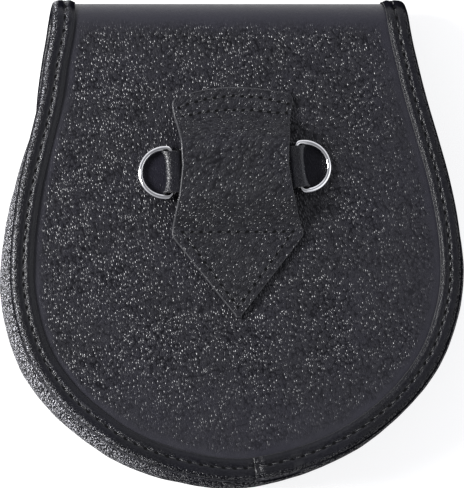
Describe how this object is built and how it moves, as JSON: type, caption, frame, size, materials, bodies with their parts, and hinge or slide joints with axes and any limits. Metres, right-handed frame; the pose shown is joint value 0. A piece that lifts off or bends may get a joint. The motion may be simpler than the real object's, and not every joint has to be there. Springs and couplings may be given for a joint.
{
  "type": "sporran pouch",
  "caption": "Rounded black leather belt pouch with a bound edge, a fold-over flap, a pointed belt loop on its back and a steel D-ring at each side of the loop.",
  "frame": {"origin": "middle of the pouch's outline, on the surface that the flap lies on", "axes": "+X to the picture's right when looking at the back, +Y from the round bottom to the fold over the top, +Z out of the surface, towards the back with its belt loop"},
  "size_m": [0.1953, 0.2051, 0.0422],
  "materials": {
    "back_leather": "pebbled grain, low sheen",
    "binding_leather": "smooth fine grain, soft sheen",
    "gusset_leather": "fine grain, soft sheen",
    "front_leather": "pebbled grain, low sheen",
    "loop_leather": "pebbled grain, low sheen",
    "tab_leather_left": "smooth fine grain, soft sheen",
    "tab_leather_right": "smooth fine grain, soft sheen",
    "ring_steel_left": "polished",
    "ring_steel_right": "polished",
    "snap_steel": "satin"
  },
  "bodies": {
    "pouch": {"back_and_flap": "back_leather", "edge_binding": "binding_leather", "gusset": "gusset_leather", "front_panel": "front_leather", "belt_loop": "loop_leather", "ring_tab_left": "tab_leather_left", "ring_tab_right": "tab_leather_right", "flap_snap": "snap_steel"},
    "ring_left": {"d_ring_left": "ring_steel_left"},
    "ring_right": {"d_ring_right": "ring_steel_right"}
  },
  "joints": [
    {"name": "ring_left_swing", "type": "hinge", "parent": "pouch", "child": "ring_left", "pos_m": [-0.02675, 0.02882, 0.0316], "axis": [-0.0105, 0.9976, -0.068], "range_deg": [0, 100]},
    {"name": "ring_right_swing", "type": "hinge", "parent": "pouch", "child": "ring_right", "pos_m": [0.0258, 0.03077, 0.03147], "axis": [0.0958, -0.9931, 0.0677], "range_deg": [0, 110]}
  ]
}
